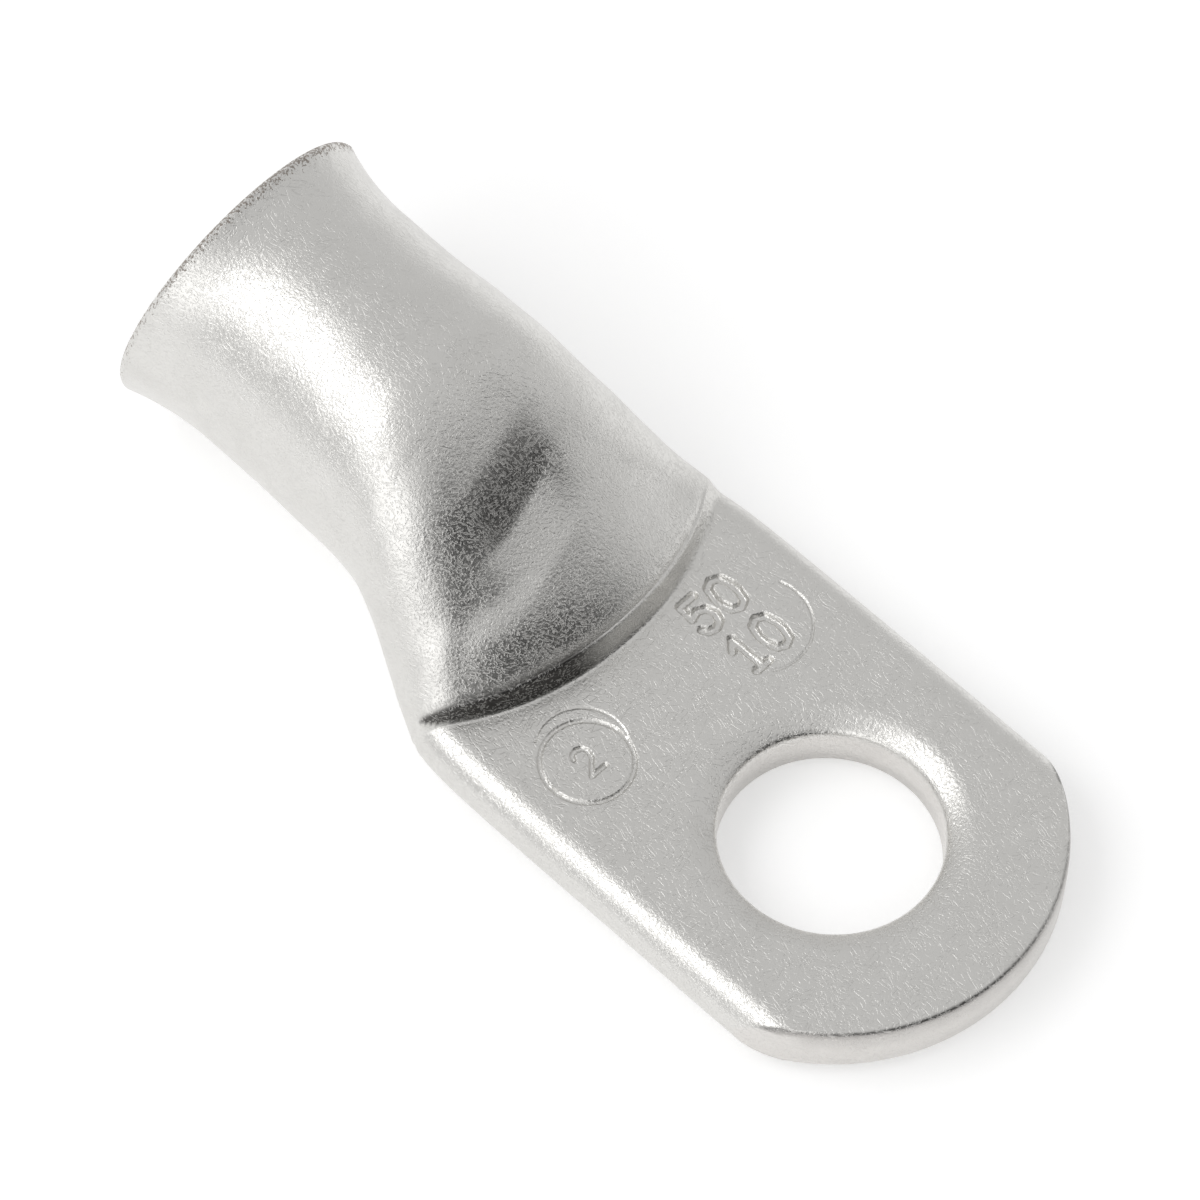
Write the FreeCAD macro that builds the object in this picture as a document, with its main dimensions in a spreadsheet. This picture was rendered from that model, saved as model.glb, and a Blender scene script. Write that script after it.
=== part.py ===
"""Ring terminal for a stranded power cable, pressed from one length of copper tube.

The barrel keeps the tube's round section and opens into a bell at the cable end. Past the
neck the tube is pressed flat, wall on wall, into a palm with a stud hole. Pressing bends the
tube's wall but doesn't stretch it, so the width of every pressed section follows from its
height and from the tube's own girth.

Frame: origin at the stud hole's centre on the palm's underside, +X towards the palm's end,
the barrel towards -X, +Z up. Lengths are in millimetres, angles in degrees.
"""
import FreeCAD, Part
import math
import os
import Sketcher

Constraint = Sketcher.Constraint
Vector = FreeCAD.Vector
START, END, CENTRE = range(1, 4)
ORIGIN, HORIZONTAL_AXIS, VERTICAL_AXIS = -1, -1, -2

NODE = "ring_terminal"

# Driving sizes: one cell each, with the size's name as the cell's alias
SIZES = {
    "tube_diameter": 14.1,
    "tube_wall": 1.4,
    "bell_length": 5.0,
    "bell_curve_radius": 15.5,
    "mouth_slant": 11.0,
    "lip_edge_radius": 0.4,
    "barrel_length": 8.2,
    "seam_angle": 3.0,
    "neck_length": 12.2,
    "neck_side_lead": 1.2,
    "neck_side_length": 8.4,
    "neck_crown_length": 10.5,
    "cavity_slit": 0.1,
    "step_height": 1.4,
    "step_radius": 16.0,
    "step_lean": 12.0,
    "step_distance": 13.8,
    "palm_reach": 10.85,
    "palm_end_radius": 11.0,
    "stud_hole_diameter": 10.5,
    "hole_edge_radius": 0.75,
}

doc = FreeCAD.newDocument("RingTerminal")
sheet = doc.addObject("Spreadsheet::Sheet", "Sizes")
for row, (name, size) in enumerate(SIZES.items(), start=1):
    sheet.set(f"A{row}", name)
    sheet.set(f"B{row}", str(size))
    sheet.setAlias(f"B{row}", name)
doc.recompute()

body = doc.addObject("PartDesign::Body", NODE)
body.Label = NODE
PLANES = {plane.Role: plane for plane in body.Origin.OriginFeatures}


def value(expression):
    """The number that an expression over the sheet's cells gives."""
    return float(body.evalExpression(str(expression)))


def feature(kind, name):
    """A new feature of the body."""
    return body.newObject(f"PartDesign::{kind}", name)


def sketch_on(role, name, offset="0"):
    """An empty sketch on one of the body's origin planes, moved along the plane's normal."""
    sketch = body.newObject("Sketcher::SketchObject", name)
    sketch.AttachmentSupport = [(PLANES[role], "")]
    sketch.MapMode = "FlatFace"
    sketch.setExpression(".AttachmentOffset.Base.z", offset)
    return sketch


def dimension(sketch, kind, *where, size):
    """A sketch dimension that is bound to an expression over the sheet's cells."""
    index = sketch.addConstraint(Constraint(kind, *where, value(size)))
    sketch.setExpression(f"Constraints[{index}]", size)


def arc(centre_x, centre_y, radius, start, end):
    """An arc of a circle in a sketch's plane, from one angle round to another."""
    circle = Part.Circle(Vector(centre_x, centre_y, 0), Vector(0, 0, 1), radius)
    return Part.ArcOfCircle(circle, math.radians(start), math.radians(end))


def line(start_x, start_y, end_x, end_y):
    """A straight line in a sketch's plane."""
    return Part.LineSegment(Vector(start_x, start_y, 0), Vector(end_x, end_y, 0))


# The named sizes that follow from the driving ones
OUTER_RADIUS = "(Sizes.tube_diameter / 2)"
BORE_RADIUS = "(Sizes.tube_diameter / 2 - Sizes.tube_wall)"
PALM_THICKNESS = "(2 * Sizes.tube_wall)"
NECK_START = "(-Sizes.step_distance - Sizes.neck_length)"
BARREL_END = f"({NECK_START} - Sizes.tube_wall)"
BELL_START = f"({NECK_START} - Sizes.barrel_length)"
MOUTH = f"({BELL_START} - Sizes.bell_length)"


def pressed_width(height):
    """Width of a pressed section of this height: the tube's girth stays what it was."""
    return f"(pi / 2 * Sizes.tube_diameter - (pi / 2 - 1) * {height})"


def eased(start, end, station, first, length):
    """A size that eases from start to end over a length along X, level at both ends."""
    share = f"(max(0; min(1; ({station} - {first}) / {length})))"
    return f"({start} + ({end} - {start}) * {share} ^ 2 * (3 - 2 * {share}))"


def pressed_section(name, station, height, foot, width, floor="0"):
    """A section of the pressed tube: flat below and above, with a quarter round at each corner.

    foot is the lower corners' radius, and the upper corners take the rest of the height.
    """
    half = value(width) / 2
    low = value(foot)
    high = value(height) - low
    base = value(floor)
    sketch = sketch_on("YZ_Plane", name, station)
    bottom, right_foot, right_crown, top, left_crown, left_foot = sketch.addGeometry([
        line(low - half, base, half - low, base),
        arc(half - low, base + low, low, -90, 0),
        arc(half - high, base + low, high, 0, 90),
        line(half - high, base + low + high, high - half, base + low + high),
        arc(high - half, base + low, high, 90, 180),
        arc(low - half, base + low, low, 180, 270),
    ])
    sketch.addConstraint([
        Constraint("Tangent", bottom, END, right_foot, START),
        Constraint("Tangent", right_foot, END, right_crown, START),
        Constraint("Tangent", right_crown, END, top, START),
        Constraint("Tangent", top, END, left_crown, START),
        Constraint("Coincident", left_crown, END, left_foot, START),
        Constraint("Tangent", left_foot, END, bottom, START),
        Constraint("Symmetric", bottom, START, bottom, END, VERTICAL_AXIS),
        Constraint("Symmetric", left_foot, START, right_foot, END, VERTICAL_AXIS),
        Constraint("Symmetric", top, START, top, END, VERTICAL_AXIS),
        Constraint("Horizontal", right_foot, CENTRE, right_foot, END),
    ])
    dimension(sketch, "Radius", right_foot, size=foot)
    dimension(sketch, "Radius", right_crown, size=f"{height} - {foot}")
    dimension(sketch, "DistanceX", left_foot, START, right_foot, END, size=width)
    dimension(sketch, "DistanceY", ORIGIN, START, bottom, START, size=floor)
    return sketch


def round_section(name, station, radius):
    """The tube's round section, split at the six points that the pressed sections have."""
    size = value(radius)
    axis = value(OUTER_RADIUS)
    seam = value("Sizes.seam_angle")
    corners = [-90 - seam, -90 + seam, 0, 90 - seam, 90 + seam, 180, 270 - seam]
    sketch = sketch_on("YZ_Plane", name, station)
    arcs = sketch.addGeometry([arc(0, axis, size, *span) for span in zip(corners, corners[1:])])
    for before, after in zip(arcs, arcs[1:]):
        sketch.addConstraint(Constraint("Tangent", before, END, after, START))
        sketch.addConstraint(Constraint("Equal", before, after))
    bottom, right_foot, right_crown, top, left_crown, left_foot = arcs
    sketch.addConstraint([
        Constraint("PointOnObject", bottom, CENTRE, VERTICAL_AXIS),
        Constraint("Horizontal", left_foot, END, bottom, START),
        Constraint("Horizontal", bottom, START, bottom, END),
        Constraint("Horizontal", top, START, top, END),
        Constraint("Horizontal", bottom, CENTRE, right_foot, END),
        Constraint("Horizontal", bottom, CENTRE, left_crown, END),
    ])
    flat = f"2 * {radius} * sin(Sizes.seam_angle)"
    dimension(sketch, "DistanceX", bottom, START, bottom, END, size=flat)
    dimension(sketch, "DistanceX", top, END, top, START, size=flat)
    dimension(sketch, "Radius", bottom, size=radius)
    dimension(sketch, "DistanceY", ORIGIN, START, bottom, CENTRE, size=OUTER_RADIUS)
    return sketch


# Barrel: the part of the tube that keeps its round section, up to where the bell starts
barrel_ring = sketch_on("YZ_Plane", "BarrelRing", BELL_START)
rings = barrel_ring.addGeometry([
    Part.Circle(Vector(0, value(OUTER_RADIUS), 0), Vector(0, 0, 1), value(OUTER_RADIUS)),
    Part.Circle(Vector(0, value(OUTER_RADIUS), 0), Vector(0, 0, 1), value(BORE_RADIUS)),
])
for ring, radius in zip(rings, (OUTER_RADIUS, BORE_RADIUS)):
    barrel_ring.addConstraint(Constraint("PointOnObject", ring, CENTRE, VERTICAL_AXIS))
    dimension(barrel_ring, "DistanceY", ORIGIN, START, ring, CENTRE, size=OUTER_RADIUS)
    dimension(barrel_ring, "Radius", ring, size=radius)
barrel = feature("Pad", "Barrel")
barrel.Profile = barrel_ring
barrel.setExpression("Length", f"{BARREL_END} - {BELL_START}")

# Bell: a punch opens the tube's end. Pressing the neck has drawn the top of the barrel towards
# the palm, so the sections of the bell lean more and more, up to the slant of the mouth
BELL_STATIONS = 4


def bell_section(name, share, radius):
    """A round section of the bell, at a share of its length and with that share of the slant."""
    sketch = sketch_on("YZ_Plane", name, f"{BELL_START} - Sizes.bell_length * {share}")
    slant = f"Sizes.mouth_slant * {share}"
    sketch.AttachmentOffset = FreeCAD.Placement(
        sketch.AttachmentOffset.Base, FreeCAD.Rotation(Vector(1, 0, 0), value(slant)))
    sketch.setExpression(".AttachmentOffset.Rotation.Angle", slant)
    sketch.setExpression(".AttachmentOffset.Base.y", OUTER_RADIUS)
    circle = sketch.addGeometry(Part.Circle(Vector(0, 0, 0), Vector(0, 0, 1), value(radius)))
    sketch.addConstraint(Constraint("Coincident", circle, CENTRE, ORIGIN, START))
    dimension(sketch, "Radius", circle, size=radius)
    return sketch


def bell_loft(kind, name, wall):
    """A loft through the bell's sections, at a depth below the flare's outside."""
    loft_sections = []
    for number in range(BELL_STATIONS + 1):
        share = number / BELL_STATIONS
        run = f"(Sizes.bell_length * {share})"
        curve = f"(Sizes.bell_curve_radius + {wall})"
        radius = f"({OUTER_RADIUS} - {wall} + {curve} - sqrt({curve} ^ 2 - {run} ^ 2))"
        loft_sections.append(bell_section(f"{name}{number}", share, radius))
    loft = feature(kind, name)
    loft.Profile = loft_sections[0]
    loft.Sections = [(section, "") for section in loft_sections[1:]]
    return loft


bell = bell_loft("AdditiveLoft", "Bell", "0")
bell_mouth = bell_loft("SubtractiveLoft", "BellMouth", "Sizes.tube_wall")

# Neck: the tube goes from round to pressed. Its crown comes down to the step's height, while
# its sides come down to the palm's thickness and spread, which pulls the section wide
NECK_STATIONS = 7
NECK_RUN_OUT = "(-Sizes.step_distance + Sizes.step_height)"


def neck_crown(station):
    """Height of the neck's flat top at a station along X."""
    step_top = f"({PALM_THICKNESS} + Sizes.step_height)"
    return eased("Sizes.tube_diameter", step_top, station, NECK_START, "Sizes.neck_crown_length")


def neck_foot(station):
    """Radius of the neck's lower corners at a station along X."""
    first = f"({NECK_START} + Sizes.neck_side_lead)"
    return eased(OUTER_RADIUS, "Sizes.tube_wall", station, first, "Sizes.neck_side_length")


def neck_width(station):
    """Width of the neck at a station along X, from the height that its sides have come down to."""
    sides = eased("Sizes.tube_diameter", PALM_THICKNESS, station, NECK_START, "Sizes.neck_length")
    return pressed_width(sides)


sections = [
    round_section("BarrelEnd", BARREL_END, OUTER_RADIUS),
    round_section("NeckStart", NECK_START, OUTER_RADIUS),
]
for number in range(1, NECK_STATIONS + 1):
    station = f"({NECK_START} + Sizes.neck_length * {number / NECK_STATIONS})"
    sections.append(pressed_section(
        f"Neck{number}", station, neck_crown(station), neck_foot(station), neck_width(station)))
PALM_WIDTH = pressed_width(PALM_THICKNESS)
sections.append(pressed_section(
    "NeckRunOut", NECK_RUN_OUT, PALM_THICKNESS, "Sizes.tube_wall", PALM_WIDTH))
neck = feature("AdditiveLoft", "Neck")
neck.Profile = sections[0]
neck.Sections = [(section, "") for section in sections[1:]]


# Palm: both walls pressed together, with rolled long edges
palm_section = pressed_section(
    "PalmSection", NECK_RUN_OUT, PALM_THICKNESS, "Sizes.tube_wall", PALM_WIDTH)
palm = feature("Pad", "Palm")
palm.Profile = palm_section
palm.setExpression("Length", f"Sizes.palm_reach - {NECK_RUN_OUT}")

# Palm end: a blanking die shears the end off to an arc, square through the thickness
END_CENTRE = "(Sizes.palm_reach - Sizes.palm_end_radius)"


def outside_arc(name, centre, radius, back, front, offset="0"):
    """A plan sketch of all that lies outside an arc across the piece, from a back line to a front."""
    middle = value(centre)
    reach = value(radius)
    rear = value(back)
    far = value(front)
    half = reach + value("Sizes.tube_wall")
    turn = math.degrees(math.acos((rear - middle) / reach))
    side = reach * math.sin(math.radians(turn))
    sketch = sketch_on("XY_Plane", name, offset)
    outline = sketch.addGeometry([
        arc(middle, 0, reach, -turn, turn),
        line(rear, side, rear, half),
        line(rear, half, far, half),
        line(far, half, far, -half),
        line(far, -half, rear, -half),
        line(rear, -half, rear, -side),
    ])
    for before, after in zip(outline, outline[1:] + outline[:1]):
        sketch.addConstraint(Constraint("Coincident", before, END, after, START))
    curve, left_rear, left, across, right, right_rear = outline
    sketch.addConstraint([
        Constraint("PointOnObject", curve, CENTRE, HORIZONTAL_AXIS),
        Constraint("Vertical", left_rear),
        Constraint("Vertical", right_rear),
        Constraint("Horizontal", left),
        Constraint("Horizontal", right),
        Constraint("Symmetric", across, START, across, END, HORIZONTAL_AXIS),
        Constraint("Vertical", left, START, right, END),
    ])
    dimension(sketch, "Radius", curve, size=radius)
    dimension(sketch, "DistanceX", curve, CENTRE, ORIGIN, START, size=f"-{centre}")
    dimension(sketch, "DistanceX", curve, CENTRE, left, START, size=f"{back} - {centre}")
    dimension(sketch, "DistanceX", ORIGIN, START, across, START, size=front)
    dimension(sketch, "DistanceY", across, END, across, START,
              size=f"2 * ({radius} + Sizes.tube_wall)")
    return sketch


blank = feature("Pocket", "BlankedEnd")
blank.Profile = outside_arc(
    "BlankedEndPlan", END_CENTRE, "Sizes.palm_end_radius", END_CENTRE,
    "(Sizes.palm_reach + Sizes.tube_wall)")
blank.Type = "ThroughAll"
blank.Midplane = True

# Step: the flat punch that presses the palm ends in an arc, and leaves a leaning riser there
STEP_CENTRE = "(-Sizes.step_distance - Sizes.step_radius)"
STEP_BACK = f"({STEP_CENTRE} + Sizes.step_radius * 0.6)"
step = feature("Pocket", "Step")
step.Profile = outside_arc(
    "StepPlan", STEP_CENTRE, "Sizes.step_radius", STEP_BACK, NECK_RUN_OUT, PALM_THICKNESS)
step.Reversed = True
step.setExpression("Length", "2 * Sizes.step_height")
step.setExpression("TaperAngle", "Sizes.step_lean")

# Cavity: the tube's bore runs on through the neck one wall inside it, and closes behind the riser
sections = [
    round_section("CavityBarrelEnd", BARREL_END, BORE_RADIUS),
    round_section("CavityNeckStart", NECK_START, BORE_RADIUS),
]
for number in range(1, NECK_STATIONS):
    station = f"({NECK_START} + Sizes.neck_length * {number / NECK_STATIONS})"
    height = f"({neck_crown(station)} - 2 * Sizes.tube_wall)"
    foot = f"max(Sizes.cavity_slit; {neck_foot(station)} - Sizes.tube_wall)"
    chord = f"(2 * sqrt((Sizes.step_radius - Sizes.tube_wall) ^ 2 - ({station} - {STEP_CENTRE}) ^ 2))"
    width = f"min({neck_width(station)} - 2 * Sizes.tube_wall; {chord})"
    sections.append(pressed_section(f"Cavity{number}", station, height, foot, width, "Sizes.tube_wall"))
cavity = feature("SubtractiveLoft", "Cavity")
cavity.Profile = sections[0]
cavity.Sections = [(section, "") for section in sections[1:]]

# Stud hole: round and square through both walls
hole_plan = sketch_on("XY_Plane", "StudHolePlan")
circle = hole_plan.addGeometry(
    Part.Circle(Vector(0, 0, 0), Vector(0, 0, 1), value("Sizes.stud_hole_diameter") / 2))
hole_plan.addConstraint(Constraint("Coincident", circle, CENTRE, ORIGIN, START))
dimension(hole_plan, "Diameter", circle, size="Sizes.stud_hole_diameter")
hole = feature("Pocket", "StudHole")
hole.Profile = hole_plan
hole.Type = "ThroughAll"
hole.Midplane = True


# Rounded edges: the punch drags the hole's upper edge in, and the cut tube's two edges are
# broken at the mouth
def rounded(name, base, size, back, front, low, high):
    """A fillet on every edge of the body that lies between two stations and two heights."""
    doc.recompute()
    margin = value("Sizes.cavity_slit") / 2
    fillet = feature("Fillet", name)
    edges = []
    for number, edge in enumerate(base.Shape.Edges, start=1):
        box = edge.optimalBoundingBox()
        along = value(back) - margin < box.XMin and box.XMax < value(front) + margin
        upright = value(low) - margin < box.ZMin and box.ZMax < value(high) + margin
        if along and upright:
            edges.append(f"Edge{number}")
    if not edges:
        raise RuntimeError(f"{name} found no edge")
    fillet.Base = (base, edges)
    fillet.setExpression("Radius", size)
    return fillet


HOLE_RADIUS = "(Sizes.stud_hole_diameter / 2)"
hole_edge = rounded("HoleEdge", hole, "Sizes.hole_edge_radius",
                    f"-{HOLE_RADIUS}", HOLE_RADIUS, PALM_THICKNESS, PALM_THICKNESS)
lip = rounded("LipEdges", hole_edge, "Sizes.lip_edge_radius",
              f"({MOUTH} - {OUTER_RADIUS})", f"({BELL_START} - Sizes.tube_wall)",
              f"-{OUTER_RADIUS}", "(2 * Sizes.tube_diameter)")
body.Tip = lip
doc.recompute()

for thing in doc.Objects:
    if "Invalid" in thing.State or "Error" in thing.State:
        raise RuntimeError(f"{thing.Name} failed: {thing.State}")
    if not getattr(thing, "FullyConstrained", True):
        raise RuntimeError(f"{thing.Name} isn't fully constrained")
if not body.Shape.isValid() or len(body.Shape.Solids) != 1:
    raise RuntimeError(f"{NODE} isn't one valid solid")

os.makedirs("parts", exist_ok=True)
body.Shape.exportStep(f"parts/{NODE}.step")
print(NODE, "volume", round(body.Shape.Volume, 1), body.Shape.optimalBoundingBox())
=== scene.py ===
import bmesh
import bpy
import math
import numpy as np
from mathutils import Euler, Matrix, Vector


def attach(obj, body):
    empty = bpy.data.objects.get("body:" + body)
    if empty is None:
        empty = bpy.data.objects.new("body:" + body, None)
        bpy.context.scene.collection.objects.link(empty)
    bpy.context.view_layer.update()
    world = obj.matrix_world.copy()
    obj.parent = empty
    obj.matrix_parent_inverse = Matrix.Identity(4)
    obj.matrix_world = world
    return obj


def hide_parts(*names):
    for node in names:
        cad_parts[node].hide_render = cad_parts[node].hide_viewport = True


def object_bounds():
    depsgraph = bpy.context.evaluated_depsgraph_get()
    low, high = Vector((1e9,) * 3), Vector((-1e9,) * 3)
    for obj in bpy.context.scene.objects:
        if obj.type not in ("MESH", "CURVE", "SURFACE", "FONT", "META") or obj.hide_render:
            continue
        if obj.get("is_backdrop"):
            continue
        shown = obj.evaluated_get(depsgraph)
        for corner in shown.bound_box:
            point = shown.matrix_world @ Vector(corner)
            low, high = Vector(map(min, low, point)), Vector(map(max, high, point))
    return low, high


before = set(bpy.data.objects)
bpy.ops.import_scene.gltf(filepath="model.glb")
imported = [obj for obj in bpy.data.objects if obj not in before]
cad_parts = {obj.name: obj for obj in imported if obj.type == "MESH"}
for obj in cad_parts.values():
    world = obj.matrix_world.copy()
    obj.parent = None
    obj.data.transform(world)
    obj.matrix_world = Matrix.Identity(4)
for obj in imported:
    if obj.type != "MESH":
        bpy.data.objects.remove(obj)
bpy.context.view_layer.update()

# Pressed tube
# One length of copper tube, belled at the cable end and pressed wall on wall into a flat palm
# at the other. It is drawn in millimetres as rows of points round the tube, from the closed end
# of the cavity out over the lip, then along the outside to the palm's sheared end.
MM = 0.001
TUBE_RADIUS = 6.97
WALL = 1.4
BELL_START = -34.2
MOUTH = -39.24
BELL_CURVE = 14.57
MOUTH_SLANT = 0.194
MOUTH_SKEW = 0.035
LIP_ROUND = 0.42
PALM_TOP = 2 * WALL
STEP_APEX = -13.8
STEP_RADIUS = 16.0
SHELF_TOP = 4.25
END_RADIUS = 11.067
END_CENTRE = -0.183
SMALLEST_CORNER = 0.05
SETTLING_ROUNDS = 12
POINTS_ROUND = 192
# Each point's share of the way round a row, from the middle of the underside
ROUND = np.arange(POINTS_ROUND) / POINTS_ROUND

# X, width, lower corner radius and upper corner radius of a section
NECK_SECTIONS = np.array([
    (-31.0, 13.94, 6.97, 6.97), (-29.5, 14.02, 7.04, 6.86), (-28.0, 14.24, 7.14, 6.60),
    (-26.0, 14.40, 7.16, 6.45), (-24.0, 14.78, 6.81, 6.11), (-22.0, 15.94, 5.69, 5.12),
    (-20.0, 17.48, 3.74, 4.38), (-18.5, 18.70, 2.36, 3.60), (-17.0, 19.80, 1.59, 2.45),
    (-15.5, 20.28, 1.30, 2.10), (-14.0, 20.46, 1.20, 1.90), (-12.0, 20.55, 1.20, 1.70)])
PALM_SECTIONS = np.array([
    (-18.0, 19.20, 1.25, 1.55), (-17.0, 19.80, 1.25, 1.55), (-15.5, 20.28, 1.22, 1.58),
    (-14.0, 20.46, 1.20, 1.60), (-12.0, 20.55, 1.20, 1.60), (-8.0, 20.60, 1.20, 1.60),
    (12.0, 20.61, 1.20, 1.60)])
CROWN_START = 13.62
# Station and slope of the crown in degrees. A station is the X of a row at the middle of the
# piece.
CROWN_SLOPES = np.array([
    (-26.6, 0), (-25.4, 12), (-24.4, 24), (-23.4, 31), (-22.4, 34), (-21.6, 35), (-20.9, 36),
    (-20.2, 40), (-19.6, 41), (-18.8, 39), (-17.6, 37), (-16.4, 37), (-15.4, 40), (-14.6, 45),
    (-13.8, 50)])


def curve(x, stations, values):
    """A smooth curve through values at stations, with no overshoot between them."""
    run = np.diff(stations)
    rise = np.diff(values) / run
    before, after = rise[:-1], rise[1:]
    same_way = before * after > 0
    slope = np.empty_like(values)
    slope[0], slope[-1] = rise[0], rise[-1]
    slope[1:-1] = np.where(same_way, 2 * before * after / np.where(same_way, before + after, 1), 0)
    place = np.clip(np.searchsorted(stations, x) - 1, 0, len(run) - 1)
    t = np.clip((x - stations[place]) / run[place], 0, 1)
    return (values[place] * (1 + 2 * t) * (1 - t) ** 2 + values[place + 1] * t * t * (3 - 2 * t)
            + run[place] * t * (1 - t) * (slope[place] * (1 - t) - slope[place + 1] * t))


def ease(share):
    """0 to 1, level at both ends."""
    share = np.clip(share, 0, 1)
    return share * share * (3 - 2 * share)


def sag(y, radius):
    """How far an arc across the piece has come back from its apex at a distance off centre."""
    return radius - np.sqrt(radius ** 2 - np.clip(y, -radius, radius) ** 2)


def rounded_section(table, x, inset):
    """A section at x, drawn from the underside's middle round by +Y. Gives Y, Z, the section's
    height and half width, and which points lie on its upper half."""
    width, low, high = (curve(x, table[:, 0], table[:, column]) for column in (1, 2, 3))
    height = low + high
    half_width = width / 2 - inset
    low = np.maximum(low - inset, SMALLEST_CORNER)
    high = np.maximum(high - inset, SMALLEST_CORNER)
    low_flat = np.maximum(half_width - low, 0)
    high_flat = np.maximum(half_width - high, 0)
    share = np.where(ROUND <= 0.5, ROUND, 1 - ROUND) * 2
    along = share * (low_flat + (low + high) * math.pi / 2 + high_flat)
    past_low = along - low_flat - low * math.pi / 2
    turn_low = np.clip((along - low_flat) / low, 0, math.pi / 2)
    turn_high = np.clip(past_low / high, 0, math.pi / 2)
    y = np.minimum(along, low_flat) + low * np.sin(turn_low) - high * (1 - np.cos(turn_high))
    y = y - np.clip(past_low - high * math.pi / 2, 0, None)
    z = inset + low * (1 - np.cos(turn_low)) + high * np.sin(turn_high)
    return np.where(ROUND <= 0.5, y, -y), z, height, half_width, past_low > 0


# The crown's heights follow from its slopes, and are scaled to end at the top of the shelf
fine_stations = np.linspace(CROWN_SLOPES[0, 0], STEP_APEX, 500)
fine_slopes = np.tan(np.radians(np.interp(fine_stations, CROWN_SLOPES[:, 0], CROWN_SLOPES[:, 1])))
fine_fall = np.cumsum(fine_slopes) * (fine_stations[1] - fine_stations[0])
fine_crown = CROWN_START - fine_fall * (CROWN_START - SHELF_TOP) / fine_fall[-1]


# The dent lies askew: it moves along the piece by a share of the distance from its pivot
DENT_START, DENT_FLOOR, DENT_END = -21.5, -19.4, -17.0
DENT_SKEW, DENT_PIVOT = 0.3, -0.6
DENT_MIDDLE, DENT_HALF_WIDTH, DENT_DEPTH = -0.9, 2.6, 0.54
FOLD_START, FOLD_END, FOLD_HEIGHT = -17.4, -13.7, 0.3
FOLD_MIDDLE, FOLD_HALF_WIDTH = -5.4, 2.8
HOLLOW_MIDDLE, HOLLOW_HALF_WIDTH, HOLLOW_SHARE = 4.0, 3.0, 0.15
FAR_START, FAR_FULL, FAR_EDGE, FAR_FALL = -25.0, -22.0, 9.5, 0.013


def press_marks(station, y):
    """Hollows and swells that the press leaves on the crown: a dent in the middle, a fold on the
    near side that ends over the step, a faint hollow across from the fold, and a far side that
    lies a little lower."""
    along = station + DENT_SKEW * (y - DENT_PIVOT)
    deepening = np.clip((along - DENT_START) / (DENT_FLOOR - DENT_START), 0, 1) ** 1.2
    rising = np.clip((along - DENT_FLOOR) / (DENT_END - DENT_FLOOR), 0, 1)
    dent = deepening * (1 - rising) * np.exp(-((y - DENT_MIDDLE) / DENT_HALF_WIDTH) ** 4)
    over_fold = np.clip((station - FOLD_START) / (FOLD_END - FOLD_START), 0, 1)
    hollow = HOLLOW_SHARE * np.exp(-((y - HOLLOW_MIDDLE) / HOLLOW_HALF_WIDTH) ** 2)
    fold = math.sin(math.pi * over_fold) ** 2 * (
        np.exp(-((y - FOLD_MIDDLE) / FOLD_HALF_WIDTH) ** 2) - hollow)
    far_side = np.clip(y, 0, FAR_EDGE)
    far = ease((station - FAR_START) / (FAR_FULL - FAR_START)) * (
        far_side ** 2 * (1 - (far_side / FAR_EDGE) ** 2))
    return FOLD_HEIGHT * fold - DENT_DEPTH * dent - FAR_FALL * far


BOW_START = -28.0
CROWN_FLATNESS = 2.6


def neck_row(station, inset=0.0):
    """A row over the neck. It bows more and more, until it runs along the step's arc."""
    bow = ease((station - BOW_START) / (STEP_APEX - BOW_START))
    crown = np.interp(station, fine_stations, fine_crown)
    y = np.zeros(POINTS_ROUND)
    for _ in range(SETTLING_ROUNDS):
        x = station - bow * sag(y, STEP_RADIUS)
        y, z, height, half_width, upper = rounded_section(NECK_SECTIONS, x, inset)
    swell = np.maximum(crown - height, 0) * (1 - np.abs(y / half_width) ** CROWN_FLATNESS)
    z = z + np.where(upper & (station > fine_stations[0]), swell, 0)
    if inset == 0:
        z = z + np.where(upper, press_marks(station, y), 0)
    return np.stack([x, y, z], axis=1)


def palm_row(x):
    """A row round the palm at X values that may change over the row."""
    y, z = rounded_section(PALM_SECTIONS, x, 0)[:2]
    return np.stack([x, y, z], axis=1)


def turned_row(x, radius, slant_share):
    """A row round the tube's axis, leaned by a share of the mouth's slant."""
    angle = 2 * math.pi * ROUND - math.pi / 2
    y, z = radius * np.cos(angle), radius * np.sin(angle)
    slant = MOUTH_SLANT * z - MOUTH_SKEW * y
    return np.stack([x + slant_share * slant, y, TUBE_RADIUS + z], axis=1)


def bell_row(x, inset):
    """A row on the flared wall, at a depth below its outside, and its radius."""
    bend = BELL_CURVE + inset
    radius = TUBE_RADIUS - inset + bend - math.sqrt(bend ** 2 - (BELL_START - x) ** 2)
    return turned_row(x, radius, (BELL_START - x) / (BELL_START - MOUTH)), radius


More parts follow.
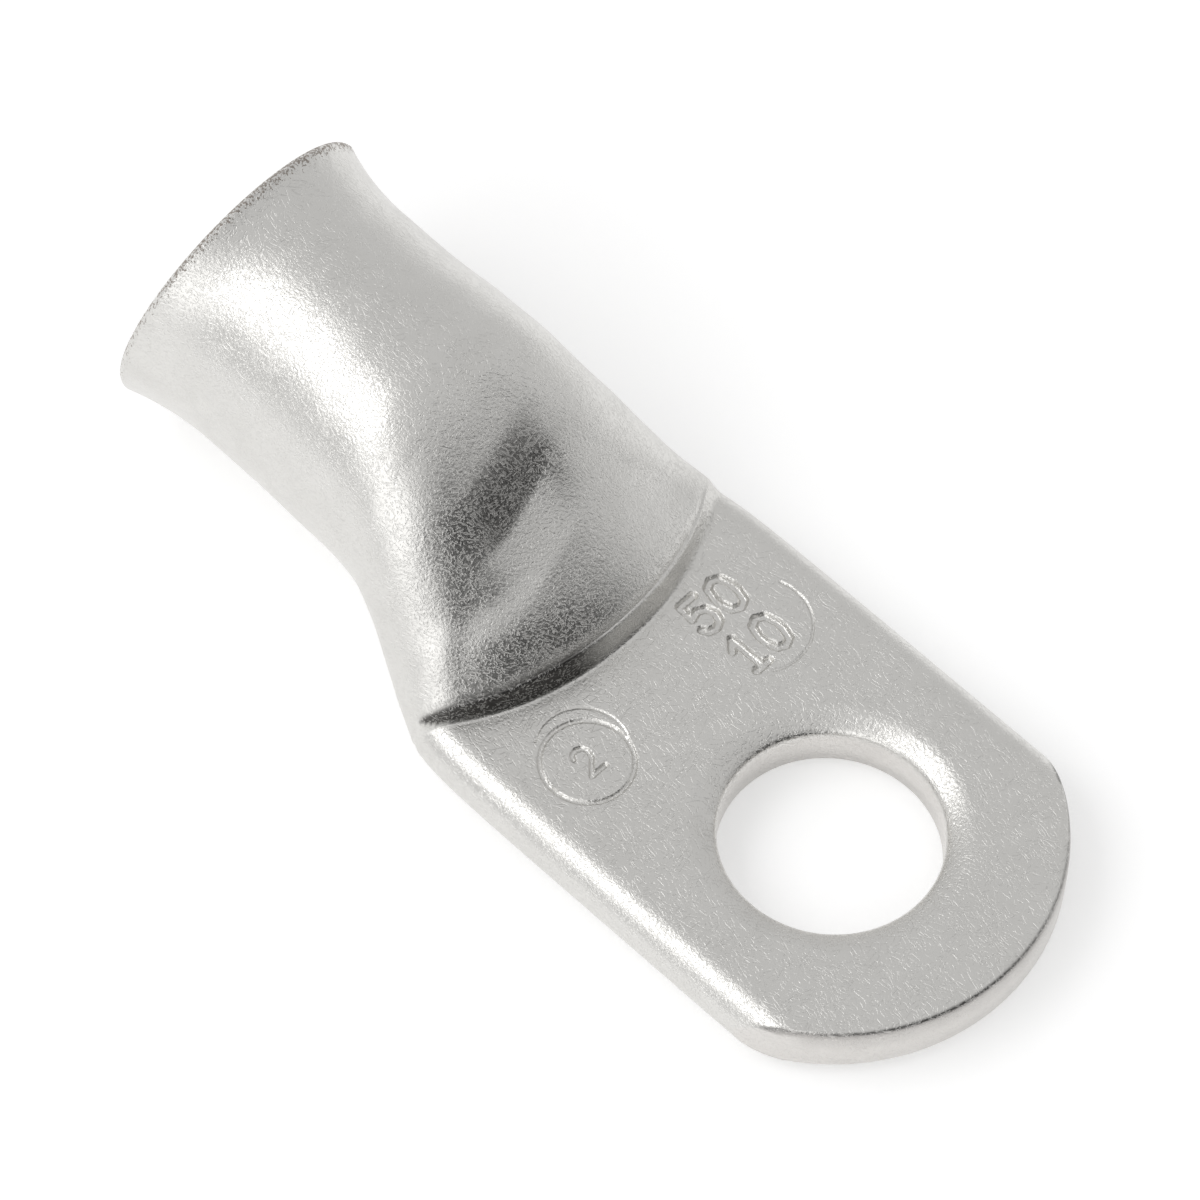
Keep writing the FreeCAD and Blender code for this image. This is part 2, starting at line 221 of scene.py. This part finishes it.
CAVITY_END = -15.9
BELL_END = MOUTH + LIP_ROUND
INSIDE_ROWS, INSIDE_BELL_ROWS, BELL_ROWS, OUTSIDE_ROWS = 40, 16, 24, 104
LIP_TURNS = np.radians(np.linspace(12, 90, 7))
STEP_ROUND = 0.3
rows = []
for station in np.linspace(CAVITY_END, BELL_START, INSIDE_ROWS)[:-1]:
    rows.append(neck_row(station, WALL))
for x in np.linspace(BELL_START, BELL_END, INSIDE_BELL_ROWS):
    inner_row, inner_radius = bell_row(x, WALL)
    rows.append(inner_row)
outer_radius = bell_row(BELL_END, 0)[1]
for turn in LIP_TURNS:
    rows.append(turned_row(MOUTH + LIP_ROUND * (1 - math.sin(turn)),
                           inner_radius + LIP_ROUND * (1 - math.cos(turn)), 1))
for turn in LIP_TURNS[::-1]:
    rows.append(turned_row(MOUTH + LIP_ROUND * (1 - math.sin(turn)),
                           outer_radius - LIP_ROUND * (1 - math.cos(turn)), 1))
for x in np.linspace(BELL_END, BELL_START, BELL_ROWS):
    rows.append(bell_row(x, 0)[0])
for station in np.linspace(BELL_START, STEP_APEX - STEP_ROUND, OUTSIDE_ROWS)[1:]:
    rows.append(neck_row(station))

# Share of the step's lean, share of its height, and millimetres ahead, from its top down
STEP_PROFILE = [(0.0, 0.0, -0.12), (0.0, 0.015, -0.05), (0.03, 0.07, 0.0), (0.15, 0.18, 0.0),
                (0.35, 0.4, 0.0), (0.6, 0.65, 0.0), (0.85, 0.88, 0.0), (1.0, 0.965, 0.02),
                (1.0, 0.992, 0.09), (1.0, 1.0, 0.2)]
# Y, and how far the step's foot lies ahead of its top there
STEP_LEAN = np.array([
    (-10.3, 0.35), (-8.0, 0.35), (0.0, 0.3), (4.0, 0.45), (7.0, 0.6), (10.3, 0.8)])
step_top = neck_row(STEP_APEX)
lean = np.interp(step_top[:, 1], STEP_LEAN[:, 0], STEP_LEAN[:, 1])
for lean_share, fall_share, ahead in STEP_PROFILE:
    row = palm_row(step_top[:, 0] + lean * lean_share + ahead)
    row[:, 1] += (step_top[:, 1] - row[:, 1]) * (1 - fall_share)
    row[:, 2] += (step_top[:, 2] - row[:, 2]) * (1 - fall_share)
    rows.append(row)

# The palm's rows change from the step's arc to the arc of the end
PALM_ROWS = 90
END_ROUND = 0.25
palm_start, palm_y = rows[-1][:, 0], rows[-1][:, 1]
for number in range(1, PALM_ROWS + 1):
    for _ in range(SETTLING_ROUNDS):
        end = END_CENTRE + np.sqrt(END_RADIUS ** 2 - palm_y ** 2) - END_ROUND
        row = palm_row(palm_start + (end - palm_start) * number / PALM_ROWS)
        palm_y = row[:, 1]
    rows.append(row)

# Punching draws the face down in a shallow dish round the hole
HOLE_RADIUS = 5.25
HOLE_EDGE = 1.25
DISH, DISH_REACH = 0.05, 0.8
points = np.concatenate(rows)
from_hole = np.hypot(points[:, 0], points[:, 1])
dish = DISH * np.exp(-np.maximum(from_hole - HOLE_RADIUS - HOLE_EDGE, 0) / DISH_REACH)
points[:, 2] -= dish * ease(points[:, 2] / PALM_TOP) * (points[:, 2] < PALM_TOP + 0.01)

cavity_cap = tuple(range(POINTS_ROUND - 1, -1, -1))
faces = [cavity_cap]
for row in range(len(rows) - 1):
    for here in range(POINTS_ROUND):
        after = (here + 1) % POINTS_ROUND
        a, b = row * POINTS_ROUND, (row + 1) * POINTS_ROUND
        faces.append((a + here, a + after, b + after, b + here))

# The sheared end is columns of points from the palm's top to its underside. Each point has its
# share of the depth, and how far it stands out from the end's outline. A column that is shorter
# than a millimetre, beside the rolled edges, stands out less.
SHEAR = [(0.03, -0.12), (0.08, -0.04), (0.16, 0.0), (0.5, 0.02), (0.9, 0.0), (0.97, -0.05)]
last = (len(rows) - 1) * POINTS_ROUND
quarter = POINTS_ROUND // 4
extra, columns = [], []
for number in range(2 * quarter + 1):
    low = last + (number - quarter) % POINTS_ROUND
    high = last + (3 * quarter - number) % POINTS_ROUND
    column = [high]
    if low != high:
        top_point, fall = points[high], points[low] - points[high]
        for depth, proud in SHEAR:
            push = np.array([END_ROUND + proud, 0, 0]) * min(1, -fall[2])
            column.append(len(points) + len(extra))
            extra.append(top_point + fall * depth + push)
        column.append(low)
    columns.append(column)
for left, right in zip(columns, columns[1:]):
    if len(left) == 1:
        left = left * len(right)
    if len(right) == 1:
        right = right * len(left)
    for k in range(len(left) - 1):
        corners = (left[k], left[k + 1], right[k + 1], right[k])
        faces.append(tuple(dict.fromkeys(corners)))
points = np.concatenate([points, np.array(extra)])

# The press leaves the barrel a little out of line with the palm
BEND_START, BEND_ROUND, BEND_UP, BEND_ASIDE = -24.0, 2.0, 0.018, 0.010
beyond = np.maximum(BEND_START - points[:, 0], 0)
bent = beyond ** 2 / (beyond + BEND_ROUND)
points[:, 2] += BEND_UP * bent
points[:, 1] += BEND_ASIDE * bent

mesh = bpy.data.meshes.new("ring_terminal_metal")
mesh.from_pydata((points * MM).tolist(), [], faces)
mesh.validate()
tube = bpy.data.objects.new("ring_terminal_metal", mesh)
bpy.context.scene.collection.objects.link(tube)


# Stud hole
# Punched square through both walls before plating. The punch drags the upper edge down into a
# soft round, and breaks the lower edge out a little wider.
def turned_cutter(name, profile, steps=160):
    """A closed solid turned about Z from a list of radius and height."""
    corners = [(0, 0, profile[0][1]), (0, 0, profile[-1][1])]
    for radius, height in profile:
        for step in range(steps):
            angle = 2 * math.pi * step / steps
            corners.append((radius * math.cos(angle), radius * math.sin(angle), height))
    top = 2 + (len(profile) - 1) * steps
    cutter_faces = []
    for step in range(steps):
        after = (step + 1) % steps
        for base in range(2, top, steps):
            above = base + steps
            cutter_faces.append((base + step, base + after, above + after, above + step))
        cutter_faces.append((0, 2 + after, 2 + step))
        cutter_faces.append((1, top + step, top + after))
    cutter_mesh = bpy.data.meshes.new(name)
    cutter_mesh.from_pydata([[c * MM for c in corner] for corner in corners], [], cutter_faces)
    cutter = bpy.data.objects.new(name, cutter_mesh)
    bpy.context.scene.collection.objects.link(cutter)
    return cutter


def cut(piece, cutter):
    """Cuts the cutter's shape out of the piece's mesh, and throws the cutter away."""
    modifier = piece.modifiers.new("cut", "BOOLEAN")
    modifier.operation = "DIFFERENCE"
    modifier.solver = "EXACT"
    modifier.object = cutter
    whole = piece.data
    evaluated = piece.evaluated_get(bpy.context.evaluated_depsgraph_get())
    piece.data = bpy.data.meshes.new_from_object(evaluated)
    piece.modifiers.remove(modifier)
    bpy.data.meshes.remove(whole)
    bpy.data.objects.remove(cutter)


DISHED_TOP = PALM_TOP - DISH
EDGE_START = HOLE_RADIUS + HOLE_EDGE
BREAK_OUT = 0.1
# Millimetres in from where the edge starts, and millimetres down, from the wall up to the face
HOLE_ROLL = [
    (1.25, 0.85), (1.22, 0.66), (1.15, 0.54), (1.05, 0.45), (0.9, 0.355), (0.7, 0.25), (0.5, 0.155),
    (0.3, 0.07), (0.15, 0.02), (0.0, 0.0)]
# The cutter starts below the palm and ends above it
profile = [
    (HOLE_RADIUS + BREAK_OUT, -0.5), (HOLE_RADIUS + BREAK_OUT, -0.05), (HOLE_RADIUS, 0.08),
    *((EDGE_START - inward, DISHED_TOP - down) for inward, down in HOLE_ROLL),
    (EDGE_START + 0.05, DISHED_TOP + 0.02), (EDGE_START + 0.05, PALM_TOP + 1)]
cut(tube, turned_cutter("hole_cutter", profile))

# Stamped marks
# Struck into the palm with blunt steel dies before plating: plain numbers for the cable's and
# the stud's size, a ring with an inspection number, and two faint arcs where the die bounced.
FIGURES = {
    "0": [[(0.5, 0), (0.15, 0.1), (0, 0.4), (0, 0.6), (0.15, 0.9), (0.5, 1), (0.85, 0.9), (1, 0.6),
           (1, 0.4), (0.85, 0.1), (0.5, 0)]],
    "1": [[(0.15, 0.75), (0.55, 1), (0.55, 0)], [(0.2, 0), (0.9, 0)]],
    "2": [[(0.05, 0.8), (0.2, 0.96), (0.5, 1), (0.82, 0.93), (0.95, 0.75), (0.85, 0.5), (0.0, 0.0),
           (1, 0)]],
    "5": [[(0.92, 1), (0.15, 1), (0.08, 0.56), (0.5, 0.64), (0.85, 0.54), (0.98, 0.32), (0.85, 0.1),
           (0.5, 0), (0.15, 0.06), (0.0, 0.2)]]}


def figure_strokes(text, x, y, tall, wide, gap):
    """Strokes of a line of figures. They read along +Y, with their tops towards -X."""
    strokes = []
    for place, figure in enumerate(text):
        for line in FIGURES[figure]:
            strokes.append([(x - v * tall, y + place * (wide + gap) + u * wide) for u, v in line])
    return strokes


def arc_strokes(x, y, radius, start, end, steps=40):
    """One stroke along an arc, from one bearing round +X to another."""
    bearings = np.radians(np.linspace(start, end, steps))
    return [[(x + radius * math.cos(b), y + radius * math.sin(b)) for b in bearings]]


# Strokes, half of their width, and their depth
MARKS = [
    (figure_strokes("50", x=-11.1, y=3.35, tall=2.0, wide=1.15, gap=0.5), 0.28, 0.24),
    (figure_strokes("10", x=-8.2, y=3.35, tall=2.0, wide=1.15, gap=0.5), 0.28, 0.24),
    (figure_strokes("2", x=-9.55, y=-5.95, tall=1.5, wide=0.9, gap=0), 0.16, 0.14),
    (arc_strokes(-10.25, -5.53, radius=2.2, start=0, end=360), 0.15, 0.11),
    (arc_strokes(-10.9, -5.2, radius=2.2, start=60, end=215), 0.10, 0.05),
    (arc_strokes(-9.9, 5.4, radius=2.6, start=-30, end=110), 0.09, 0.06)]


FLOOR_SHARE = 0.35
BURR_SHARE, BURR_OUT, BURR_WIDTH = 0.14, 1.4, 0.35


def stroke_depth(x, y):
    """How deep the marks go at each place, with a low burr along each stroke. Widths here are
    shares of a stroke's half width."""
    depth = np.zeros_like(x)
    for strokes, half_width, deep in MARKS:
        for line in strokes:
            near = np.full_like(x, np.inf)
            for (ax, ay), (bx, by) in zip(line, line[1:]):
                run_x, run_y = bx - ax, by - ay
                t = ((x - ax) * run_x + (y - ay) * run_y) / (run_x ** 2 + run_y ** 2)
                t = np.clip(t, 0, 1)
                near = np.minimum(near, np.hypot(x - ax - t * run_x, y - ay - t * run_y))
            out = near / half_width
            groove = deep * (1 - ease((out - FLOOR_SHARE) / (1 - FLOOR_SHARE)))
            burr = BURR_SHARE * deep * np.exp(-((out - BURR_OUT) / BURR_WIDTH) ** 2)
            struck = groove - burr
            raised = np.where(depth > 0, depth, np.minimum(depth, -burr))
            depth = np.where(struck > depth, struck, raised)
    return depth


# Low and high corners of the places on the palm's face that get a finer grid for the marks
MARKED_PLACES = [((-14.0, 2.6), (-6.9, 8.3)), ((-13.5, -8.1), (-7.7, -2.6))]
MARKS_START, MARKS_END = -14.2, -6.5
STAMP_CUTS = 4
# The face is what lies this near the palm's top, and faces up by at least this much
FACE_DEPTH, FACE_UP = 0.3, 0.9
grid = bmesh.new()
grid.from_mesh(tube.data)
marked_edges = set()
for face in grid.faces:
    centre = face.calc_center_median() / MM
    if centre.z < PALM_TOP - FACE_DEPTH or face.normal.z < FACE_UP:
        continue
    for (x0, y0), (x1, y1) in MARKED_PLACES:
        if x0 < centre.x < x1 and y0 < centre.y < y1:
            marked_edges.update(face.edges)
bmesh.ops.subdivide_edges(grid, edges=list(marked_edges), cuts=STAMP_CUTS, use_grid_fill=True)
grid.to_mesh(tube.data)
grid.free()
places = np.empty(len(tube.data.vertices) * 3, np.float32)
tube.data.vertices.foreach_get("co", places)
places = places.reshape(-1, 3)
on_face = ((places[:, 2] > (PALM_TOP - FACE_DEPTH) * MM)
           & (places[:, 0] > MARKS_START * MM) & (places[:, 0] < MARKS_END * MM))
places[on_face, 2] -= stroke_depth(places[on_face, 0] / MM, places[on_face, 1] / MM) * MM
tube.data.vertices.foreach_set("co", places.ravel())

tube.data.polygons.foreach_set("use_smooth", [True] * len(tube.data.polygons))
tube.data.set_sharp_from_angle(angle=math.radians(40))
weighted = tube.modifiers.new("weighted", "WEIGHTED_NORMAL")
weighted.keep_sharp = True


def over(distance, start, blend):
    """0 up to a start, then rising to 1 over a blend, all in millimetres."""
    return ease((distance - start) / blend)


# Masks on the tin, from 0 to 1: painted shade on the dent's steep side, wear at the lip's edge, a
# darker near part of the step's riser with a painted shade line along the top of the sheared end,
# and the two sheared walls
x, y, z = (places / MM).T
# Painted shade on the dent's steep side, where the crown turns towards the unlit end of the room
DENT_BOW = 0.7
DENT_SHADE_HALF_WIDTH = 2.7
along = x + DENT_BOW * sag(y, STEP_RADIUS) + DENT_SKEW * (y - DENT_PIVOT)
dent_shade_mask = over(along, DENT_START - 0.5, 1.5) * (1 - over(along, DENT_FLOOR - 0.25, 0.4))
dent_shade_mask = dent_shade_mask * np.exp(-((y - DENT_MIDDLE) / DENT_SHADE_HALF_WIDTH) ** 4)
LIP_WEAR = 1.5
MOUTH_MIDDLE = TUBE_RADIUS + 0.24
from_mouth = x - MOUTH_SLANT * (z - MOUTH_MIDDLE) - MOUTH
from_step = x - STEP_APEX + sag(y, STEP_RADIUS)
# The near part of the step's riser is made darker in colour
riser = over(z, PALM_TOP + 0.02, 0.15) * over(from_step, -0.35, 0.3)
riser = riser * (1 - over(from_step, 0.6, 0.5))
near_part = 1 - over(y, -2.9, 3.0)
# A painted shade line just below the top edge of the sheared end
END_SHADE_DARKNESS = 0.8
past_end = np.hypot(x - END_CENTRE, y) - END_RADIUS
at_end = x > 3
end_shade_line = (END_SHADE_DARKNESS * at_end * over(past_end, -0.26, 0.1)
            * (1 - over(z, PALM_TOP - 0.1, 0.08)) * over(z, PALM_TOP - 0.5, 0.1))
end_wall = over(past_end, -0.12, 0.1) * at_end
hole_wall = np.hypot(x, y) < HOLE_RADIUS + 0.02
tin_masks = {
    "dent_painted_shade": np.where(z > SHELF_TOP, dent_shade_mask, 0),
    "lip": (1 - over(from_mouth, 0, LIP_WEAR)) * (x < BELL_START),
    "riser_dark_end_shade": np.maximum(riser * near_part, end_shade_line),
    "sheared": np.maximum(end_wall, hole_wall)}
for name, amount in tin_masks.items():
    layer = tube.data.attributes.new(name, "FLOAT", "POINT")
    layer.data.foreach_set("value", np.asarray(amount, np.float32))

# Tin plate
# Matt tin, electro-plated over copper: a soft grey metal with a fine grain, hair scratches from
# tumbling in the barrel plater, and copper that shows through at the worn lip.


def new_group(name, inputs, outputs):
    """An empty shader group with number sockets."""
    group = bpy.data.node_groups.new(name, "ShaderNodeTree")
    for label, value in inputs:
        socket = group.interface.new_socket(label, in_out="INPUT", socket_type="NodeSocketFloat")
        socket.default_value = value
    for label in outputs:
        group.interface.new_socket(label, in_out="OUTPUT", socket_type="NodeSocketFloat")
    inlet, outlet = group.nodes.new("NodeGroupInput"), group.nodes.new("NodeGroupOutput")
    return group, inlet.outputs, outlet.inputs


def math_node(tree, operation, first, second, third=None):
    """A Math node. Each side is a number or a socket."""
    node = tree.nodes.new("ShaderNodeMath")
    node.operation = operation
    for socket, side in zip(node.inputs, (first, second, third)):
        if side is None:
            continue
        if isinstance(side, (int, float)):
            socket.default_value = side
        else:
            tree.links.new(side, socket)
    return node.outputs[0]


def band(tree, value, start, end):
    """0 below start, 1 above end, smooth between."""
    node = tree.nodes.new("ShaderNodeMapRange")
    node.interpolation_type = "SMOOTHSTEP"
    node.inputs["From Min"].default_value = start
    node.inputs["From Max"].default_value = end
    tree.links.new(value, node.inputs["Value"])
    return node.outputs["Result"]


def noise(tree, vector, scale, detail=2.0, output="Fac"):
    """Noise at a number of features a millimetre, on coordinates in millimetres."""
    node = tree.nodes.new("ShaderNodeTexNoise")
    node.inputs["Detail"].default_value = detail
    tree.links.new(vector, node.inputs["Vector"])
    if isinstance(scale, (int, float)):
        node.inputs["Scale"].default_value = scale
    else:
        tree.links.new(scale, node.inputs["Scale"])
    return node.outputs[output]


def millimetres(tree):
    """Object coordinates in millimetres."""
    coordinates = tree.nodes.new("ShaderNodeTexCoord")
    scaled = tree.nodes.new("ShaderNodeVectorMath")
    scaled.operation = "SCALE"
    scaled.inputs["Scale"].default_value = 1 / MM
    tree.links.new(coordinates.outputs["Object"], scaled.inputs[0])
    return scaled.outputs[0]


# Hair scratches are the crests of a stretched noise, laid in four directions and bent by a
# coarse one
SCRATCH_TURNS = (20, 75, 130, 165)
SCRATCH_WAVE = 0.7
SCRATCH_STRETCH = 0.11
CREST_START, CREST_FULL = 1.15, 1.25
scratch_group, given, made = new_group(
    "hair_scratches", [("Fineness", 11.0), ("Amount", 0.5)], ["Lines"])
wavy = scratch_group.nodes.new("ShaderNodeVectorMath")
wavy.operation = "MULTIPLY_ADD"
wavy.inputs[1].default_value = (SCRATCH_WAVE, SCRATCH_WAVE, SCRATCH_WAVE)
place = millimetres(scratch_group)
scratch_group.links.new(noise(scratch_group, place, 0.7, 0.0, output="Color"), wavy.inputs[0])
scratch_group.links.new(place, wavy.inputs[2])
lines = None
for turn in SCRATCH_TURNS:
    laid = scratch_group.nodes.new("ShaderNodeVectorRotate")
    laid.inputs["Axis"].default_value = (0.15, 0.1, 1)
    laid.inputs["Center"].default_value = (turn, 0, 0)
    laid.inputs["Angle"].default_value = math.radians(turn)
    scratch_group.links.new(wavy.outputs[0], laid.inputs["Vector"])
    drawn = scratch_group.nodes.new("ShaderNodeVectorMath")
    drawn.operation = "MULTIPLY"
    drawn.inputs[1].default_value = (SCRATCH_STRETCH, 1, 1)
    scratch_group.links.new(laid.outputs[0], drawn.inputs[0])
    strand = noise(scratch_group, drawn.outputs[0], given["Fineness"], 0.0)
    strand = math_node(scratch_group, "ADD", strand, given["Amount"])
    line = band(scratch_group, strand, CREST_START, CREST_FULL)
    lines = line if lines is None else math_node(scratch_group, "MAXIMUM", lines, line)
scratch_group.links.new(lines, made["Lines"])

# The deposit has a fine grain, and clouds of slightly duller tin some millimetres across
CLOUDS_A_MILLIMETRE = 0.45
grain_group, given, made = new_group("plated_grain", [("Fineness", 6.5)], ["Grain", "Cloud"])
place = millimetres(grain_group)
grain_group.links.new(noise(grain_group, place, given["Fineness"], 2.5), made["Grain"])
grain_group.links.new(noise(grain_group, place, CLOUDS_A_MILLIMETRE), made["Cloud"])


def attribute(tree, name):
    """A worn-place amount stored on the mesh."""
    node = tree.nodes.new("ShaderNodeAttribute")
    node.attribute_name = name
    return node.outputs["Fac"]


def mixed(tree, factor, first, second):
    """Two colours mixed by a mask. Each is a colour or a socket."""
    node = tree.nodes.new("ShaderNodeMix")
    node.data_type = "RGBA"
    tree.links.new(factor, node.inputs[0])
    for socket, colour in ((node.inputs[6], first), (node.inputs[7], second)):
        if isinstance(colour, tuple):
            socket.default_value = colour
        else:
            tree.links.new(colour, socket)
    return node.outputs[2]


def bump(tree, height, distance, normal=None):
    """A Bump node for a height from 0 to 1 that stands for a distance in metres."""
    node = tree.nodes.new("ShaderNodeBump")
    node.inputs["Distance"].default_value = distance
    tree.links.new(height, node.inputs["Height"])
    if normal is not None:
        tree.links.new(normal, node.inputs["Normal"])
    return node.outputs["Normal"]


TIN = (0.735, 0.725, 0.702, 1)
CLOUDED_TIN = (0.715, 0.705, 0.682, 1)
SHEARED_TIN = (0.72, 0.69, 0.665, 1)
# Dark tin for the painted shade on the dent and along the sheared end, and for the darker near
# riser
DARKENED_TIN = (0.10, 0.097, 0.093, 1)
WORN_COPPER = (0.36, 0.325, 0.295, 1)
TIN_ROUGHNESS, CLOUD_ROUGHNESS, SCRATCH_ROUGHNESS, COPPER_ROUGHNESS = 0.29, 0.05, 0.1, 0.15
GRAIN_HEIGHT, SCRATCH_DEPTH, SPECKLE_RELIEF_HEIGHT = 2.3e-5, 9e-6, 2e-5
# How dark the painted shade on the dent's steep side is
DENT_SHADE_DARKNESS = 0.78
tin = bpy.data.materials.new("tin_plate")
tin.use_nodes = True
tree = tin.node_tree
shader = tree.nodes["Principled BSDF"]
shader.inputs["Metallic"].default_value = 1
scratches = tree.nodes.new("ShaderNodeGroup")
scratches.node_tree = scratch_group
scratches.inputs["Fineness"].default_value = 11.0
scratches.inputs["Amount"].default_value = 0.5
grain = tree.nodes.new("ShaderNodeGroup")
grain.node_tree = grain_group
grain.inputs["Fineness"].default_value = 6.5
hairs = scratches.outputs["Lines"]
speckle = noise(tree, millimetres(tree), 7.0, 3.0)
# Copper shows where wear lifts the speckle over a limit. The painted shade on the dent and along
# the sheared end, and the darker near part of the riser, are lighter again along the hair
# scratches.
lip_edge = math_node(tree, "MULTIPLY_ADD", attribute(tree, "lip"), 0.45, speckle)
bare = band(tree, lip_edge, 0.86, 0.96)
darkened = math_node(
    tree, "MULTIPLY_ADD", attribute(tree, "dent_painted_shade"), DENT_SHADE_DARKNESS, attribute(tree, "riser_dark_end_shade"))
darkening = math_node(tree, "MULTIPLY", darkened, math_node(tree, "MULTIPLY_ADD", hairs, -0.5, 1.0))
sheared = math_node(tree, "MULTIPLY", attribute(tree, "sheared"), 0.5)
cloudy = band(tree, grain.outputs["Cloud"], 0.35, 0.7)
colour = mixed(tree, cloudy, TIN, CLOUDED_TIN)
colour = mixed(tree, bare, colour, WORN_COPPER)
colour = mixed(tree, darkening, colour, DARKENED_TIN)
colour = mixed(tree, sheared, colour, SHEARED_TIN)
tree.links.new(colour, shader.inputs["Base Color"])
rough = math_node(tree, "MULTIPLY_ADD", cloudy, CLOUD_ROUGHNESS, TIN_ROUGHNESS)
rough = math_node(tree, "MULTIPLY_ADD", hairs, SCRATCH_ROUGHNESS, rough)
rough = math_node(tree, "MULTIPLY_ADD", bare, COPPER_ROUGHNESS, rough)
tree.links.new(rough, shader.inputs["Roughness"])
speckle_relief = math_node(tree, "MULTIPLY", speckle, math_node(tree, "ADD", bare, darkening))
surface = bump(tree, grain.outputs["Grain"], GRAIN_HEIGHT)
surface = bump(tree, hairs, -SCRATCH_DEPTH, surface)
surface = bump(tree, speckle_relief, SPECKLE_RELIEF_HEIGHT, surface)
tree.links.new(surface, shader.inputs["Normal"])
tube.data.materials.clear()
tube.data.materials.append(tin)
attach(tube, "root")
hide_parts("ring_terminal")

# Studio
# A white table with the terminal lying on it, a big soft lamp high on the left, a weaker one
# lower in front, pale walls, and an unlit end of the room low down beyond the palm.
REACH, TABLE_TOP = 1.5, -0.0007
floor_corners = [
    (-REACH, -REACH, TABLE_TOP), (REACH, -REACH, TABLE_TOP), (REACH, REACH, TABLE_TOP),
    (-REACH, REACH, TABLE_TOP)]
floor_mesh = bpy.data.meshes.new("floor")
floor_mesh.from_pydata(floor_corners, [], [(0, 1, 2, 3)])
floor = bpy.data.objects.new("floor", floor_mesh)
bpy.context.scene.collection.objects.link(floor)
TABLE_GLOW = 0.37
table = bpy.data.materials.new("white_table")
table.use_nodes = True
tree = table.node_tree
shader = tree.nodes["Principled BSDF"]
shader.inputs["Base Color"].default_value = (0.82, 0.82, 0.82, 1)
shader.inputs["Roughness"].default_value = 1.0
shader.inputs["Specular IOR Level"].default_value = 0
shader.inputs["Emission Color"].default_value = (1, 1, 1, 1)
rays = tree.nodes.new("ShaderNodeLightPath").outputs
seen = math_node(tree, "MAXIMUM", rays["Is Camera Ray"], rays["Is Glossy Ray"])
seen = math_node(tree, "MAXIMUM", seen, rays["Is Transmission Ray"])
glow = math_node(tree, "MULTIPLY", seen, TABLE_GLOW)
tree.links.new(glow, shader.inputs["Emission Strength"])
floor_mesh.materials.append(table)
floor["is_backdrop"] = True

WALLS = (0.67, 0.67, 0.67, 1)
FAR_END = (0.01, 0.01, 0.01, 1)
# The unlit end's bearing round +X, and the angles off it where the dark ends and the walls start
DARK_BEARING, DARK_END, WALLS_START = map(math.radians, (-2, 27, 53))
world = bpy.data.worlds.new("studio")
bpy.context.scene.world = world
world.use_nodes = True
tree = world.node_tree
facing = tree.nodes.new("ShaderNodeVectorMath")
facing.operation = "DOT_PRODUCT"
facing.inputs[1].default_value = (math.cos(DARK_BEARING), math.sin(DARK_BEARING), 0)
tree.links.new(tree.nodes.new("ShaderNodeTexCoord").outputs["Generated"], facing.inputs[0])
unlit = band(tree, facing.outputs["Value"], math.cos(WALLS_START), math.cos(DARK_END))
tree.links.new(mixed(tree, unlit, WALLS, FAR_END), tree.nodes["Background"].inputs["Color"])

LAMP_DISTANCE = 0.6
LIT_PLACE = Vector((-0.015, 0, 0.006))


def soft_lamp(name, azimuth, elevation, wide, tall, brightness):
    """A soft lamp on a bearing round +X. Brightness 1 looks as bright as white paper."""
    lamp = bpy.data.lights.new(name, "AREA")
    lamp.shape = "RECTANGLE"
    lamp.size, lamp.size_y = wide, tall
    lamp.energy = brightness * math.pi * wide * tall
    holder = bpy.data.objects.new(name, lamp)
    bpy.context.scene.collection.objects.link(holder)
    bearing, height = math.radians(azimuth), math.radians(elevation)
    way = Vector((math.cos(bearing) * math.cos(height), math.sin(bearing) * math.cos(height),
                  math.sin(height)))
    holder.location = LIT_PLACE + way * LAMP_DISTANCE
    holder.rotation_mode = "QUATERNION"
    holder.rotation_quaternion = way.to_track_quat("Z", "Y")


soft_lamp("key", azimuth=-128, elevation=50, wide=0.42, tall=0.34, brightness=2.0)
soft_lamp("side", azimuth=-74, elevation=28, wide=0.5, tall=0.42, brightness=0.86)

camera = bpy.data.cameras.new("camera")
camera.lens = 240
camera.sensor_width = 36
camera.clip_start = 0.01
camera_holder = bpy.data.objects.new("camera", camera)
bpy.context.scene.collection.objects.link(camera_holder)
CAMERA_TURN = (32.1211, -1.9730, 44.3185)
camera_holder.location = (0.114155, -0.147570, 0.316860)
camera_holder.rotation_euler = Euler([math.radians(angle) for angle in CAMERA_TURN], "XYZ")
bpy.context.scene.camera = camera_holder
bpy.context.scene.view_settings.view_transform = "Standard"

low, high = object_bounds()
